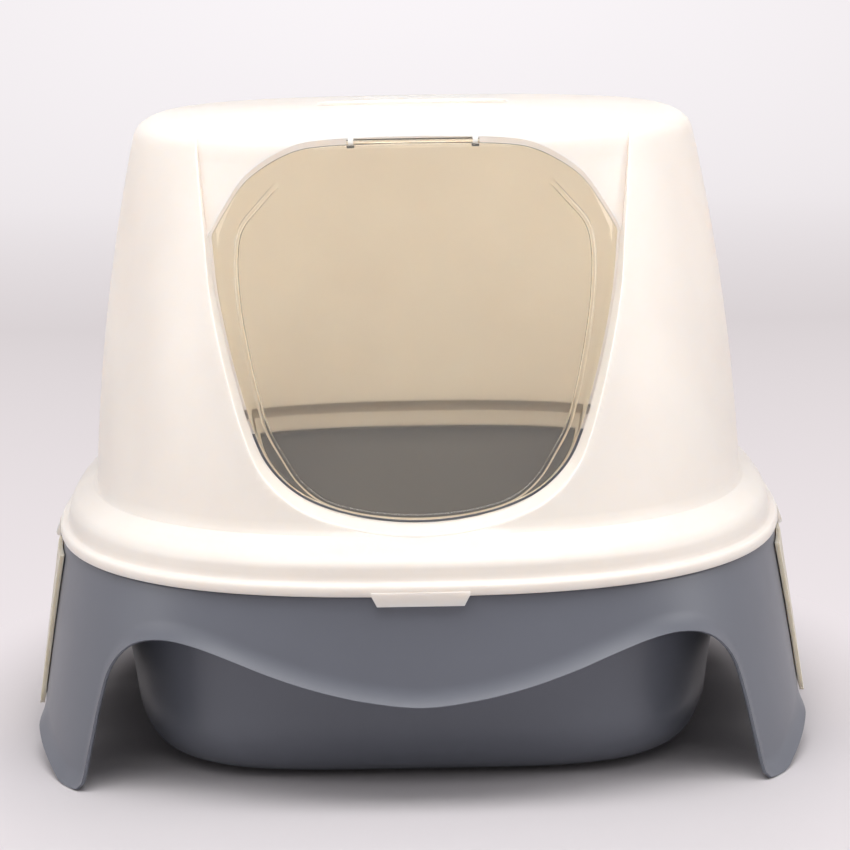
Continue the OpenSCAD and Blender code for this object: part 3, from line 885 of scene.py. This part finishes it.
class LITTERBOX_OT_stage(bpy.types.Operator):
    """Builds the floor, the soft lamps and the camera at the picture's angle"""
    bl_idname = "litterbox.stage"
    bl_label = "Studio"

    def execute(self, context):
        scene = context.scene
        # Floor with a sweep up behind: a profile of depth and height, carried across
        t = np.linspace(0, np.pi / 2, 24)
        profile = np.concatenate([[[-6000, -0.5]], np.stack(
            [3200 + 1500 * np.sin(t), 1499.5 - 1500 * np.cos(t)], -1), [[4700, 6000]]])
        x = np.array([-7000.0, 7000.0])
        pts = np.stack([np.repeat(x, len(profile)), np.tile(profile[:, 0], 2),
                        np.tile(profile[:, 1], 2)], -1)
        n = len(profile)
        j = np.arange(n - 1)
        floor = new_object("studio_floor", pts, np.stack([j, j + n, j + n + 1, j + 1], -1))
        floor.data.shade_smooth()
        mat, tree, out = new_material("studio paper")
        shade = add_node(tree, "ShaderNodeBsdfPrincipled",
                         {"Base Color": linear(scene.litter_colours.floor), "Roughness": 0.9,
                          "Specular IOR Level": 0.1})
        # Away from the box, rays from the camera, mirrors and the pane see the backdrop's painted
        # light on the paper; near the box, the lamps light it and it holds the shadow
        place = add_node(tree, "ShaderNodeTexCoord").outputs["Object"]
        wide = add_node(tree, "ShaderNodeVectorMath", {"operation": "MULTIPLY"}, {0: place})
        wide.inputs[1].default_value = (1.6, 1, 1)
        middle = add_node(tree, "ShaderNodeVectorMath", {"operation": "DISTANCE"},
                          {0: wide.outputs["Vector"]})
        middle.inputs[1].default_value = (0, -0.1, 0)
        far = add_node(tree, "ShaderNodeMapRange",
                       {"From Min": 0.31, "From Max": 0.52, "interpolation_type": "SMOOTHSTEP"},
                       {"Value": middle.outputs["Value"]})
        path = add_node(tree, "ShaderNodeLightPath")
        seen = add_node(tree, "ShaderNodeMath", {"operation": "MAXIMUM"},
                        {0: path.outputs["Is Camera Ray"], 1: path.outputs["Is Glossy Ray"]})
        seen = add_node(tree, "ShaderNodeMath", {"operation": "MAXIMUM"},
                        {0: seen.outputs[0], 1: path.outputs["Is Transmission Ray"]})
        share = add_node(tree, "ShaderNodeMath", {"operation": "MULTIPLY"},
                         {0: seen.outputs[0], 1: far.outputs["Result"]})
        # The backdrop's light is painted: an emission that is brightest above its middle and falls
        # off to the sides and downwards
        glow = add_node(tree, "ShaderNodeVectorMath", {"operation": "DISTANCE"}, {0: place})
        glow.inputs[1].default_value = (0, 4.7, 0.3)
        painted_falloff = add_node(tree, "ShaderNodeMapRange", {"From Min": 0.1, "From Max": 4.9},
                        {"Value": glow.outputs["Value"]})
        tone = add_node(tree, "ShaderNodeValToRGB", links={"Fac": painted_falloff.outputs["Result"]})
        tone.color_ramp.elements[0].color = linear("#FFFBFE")
        tone.color_ramp.elements[1].color = linear("#F2EAED")
        tone.color_ramp.elements.new(0.62).color = linear("#DAD3D5")
        # Painted light of the backdrop and the far floor: an emission in the ramp's colours
        painted_backdrop_light = add_node(tree, "ShaderNodeEmission", links={"Color": tone.outputs["Color"]})
        mix = add_node(tree, "ShaderNodeMixShader", links={"Fac": share.outputs[0]})
        tree.links.new(shade.outputs["BSDF"], mix.inputs[1])
        tree.links.new(painted_backdrop_light.outputs["Emission"], mix.inputs[2])
        tree.links.new(mix.outputs["Shader"], out.inputs["Surface"])
        floor.data.materials.append(mat)

        world = bpy.data.worlds.new("studio")
        scene.world = world
        world.use_nodes = True
        tree = world.node_tree
        sky = tree.nodes["Background"]
        sky.inputs["Color"].default_value = (1, 0.995, 0.99, 1)
        # White tent, brighter above than at the sides
        way = add_node(tree, "ShaderNodeTexCoord").outputs["Generated"]
        split = add_node(tree, "ShaderNodeSeparateXYZ", links={"Vector": way})
        light = add_node(tree, "ShaderNodeMapRange",
                         {"From Min": -0.3, "From Max": 0.9, "To Min": 0.15, "To Max": 0.6},
                         {"Value": split.outputs["Z"]})
        tree.links.new(light.outputs["Result"], sky.inputs["Strength"])
        # Seen directly, mirrored or through the pane, it is the same pale backdrop
        backdrop = add_node(tree, "ShaderNodeBackground", {"Color": linear("#EBE4E7")})
        path = add_node(tree, "ShaderNodeLightPath")
        seen = add_node(tree, "ShaderNodeMath", {"operation": "MAXIMUM"},
                        {0: path.outputs["Is Camera Ray"], 1: path.outputs["Is Glossy Ray"]})
        seen = add_node(tree, "ShaderNodeMath", {"operation": "MAXIMUM"},
                        {0: seen.outputs[0], 1: path.outputs["Is Transmission Ray"]})
        both = add_node(tree, "ShaderNodeMixShader", links={"Fac": seen.outputs[0]})
        tree.links.new(sky.outputs["Background"], both.inputs[1])
        tree.links.new(backdrop.outputs["Background"], both.inputs[2])
        tree.links.new(both.outputs["Shader"],
                       tree.nodes["World Output"].inputs["Surface"])

        def lamp(name, place, target, size, power, mirrored_too):
            data = bpy.data.lights.new(name, "AREA")
            data.shape = "RECTANGLE"
            data.size, data.size_y = size
            data.energy = power
            obj = bpy.data.objects.new(name, data)
            obj.location = place
            aim = (np.array(target) - np.array(place)).tolist()
            obj.rotation_euler = Vector(aim).to_track_quat("-Z", "Y").to_euler()
            obj.visible_glossy = mirrored_too
            obj.visible_transmission = mirrored_too
            obj.visible_camera = False
            scene.collection.objects.link(obj)

        lamp("softbox_top", (0, -0.45, 0.95), (0, -0.12, 0.25), (1.2, 0.5), 7.4, True)
        lamp("softbox_front", (0, -1.3, 1.2), (0, -0.1, 0.3), (1.3, 0.3), 1.4, True)
        lamp("softbox_left", (-1.6, -0.3, 0.7), (0, 0, 0.1), (0.6, 1.0), 5, True)
        lamp("softbox_right", (1.6, -0.3, 0.7), (0, 0, 0.1), (0.6, 1.0), 7, True)
        # Light thrown back by the paper in front
        lamp("paper_bounce", (0, -1.3, 0.03), (0, 0, 0.02), (1.8, 0.05), 1.0, False)
        # Daylight through the door: this lamp behind the pane stands in for what it lets in
        lamp("through_door", (0, -0.13, 0.26), (0, 0.2, 0.24), (0.16, 0.1), 0.68, False)

        data = bpy.data.cameras.new("camera")
        data.sensor_width = 36
        data.lens = 36 * 2874 / 850
        data.clip_end = 50
        cam = bpy.data.objects.new("camera", data)
        cam.matrix_world = (Matrix.Translation((-0.0006, -1.7, 0.4441))
                            @ Matrix.Rotation(math.radians(-0.17), 4, "Z")
                            @ Matrix.Rotation(math.radians(90 - 9.52), 4, "X")
                            @ Matrix.Rotation(math.radians(-0.948), 4, "Z"))
        scene.collection.objects.link(cam)
        scene.camera = cam
        scene.view_settings.view_transform = "Standard"
        return {"FINISHED"}


class LITTERBOX_PT_sidebar(bpy.types.Panel):
    """Lists the pieces in the sidebar"""
    bl_label = "Litter Box"
    bl_space_type = "VIEW_3D"
    bl_region_type = "UI"
    bl_category = "Litter Box"

    def draw(self, context):
        for group in (context.scene.litter_sizes, context.scene.litter_colours):
            for key in group.__annotations__:
                self.layout.prop(group, key)
        for operator in OPERATORS:
            self.layout.operator(operator.bl_idname)


OPERATORS = (LITTERBOX_OT_tray, LITTERBOX_OT_hood, LITTERBOX_OT_door, LITTERBOX_OT_fittings,
             LITTERBOX_OT_stage)
CLASSES = (LitterBoxSizes, LitterBoxColours) + OPERATORS + (LITTERBOX_PT_sidebar,)


def register():
    for cls in CLASSES:
        bpy.utils.register_class(cls)
    bpy.types.Scene.litter_sizes = bpy.props.PointerProperty(type=LitterBoxSizes)
    bpy.types.Scene.litter_colours = bpy.props.PointerProperty(type=LitterBoxColours)


def unregister():
    del bpy.types.Scene.litter_sizes
    del bpy.types.Scene.litter_colours
    for cls in reversed(CLASSES):
        bpy.utils.unregister_class(cls)


def main():
    register()
    bpy.ops.litterbox.tray()
    bpy.ops.litterbox.hood()
    bpy.ops.litterbox.door()
    bpy.ops.litterbox.fittings()
    bpy.ops.litterbox.stage()


if __name__ == "__main__":
    main()
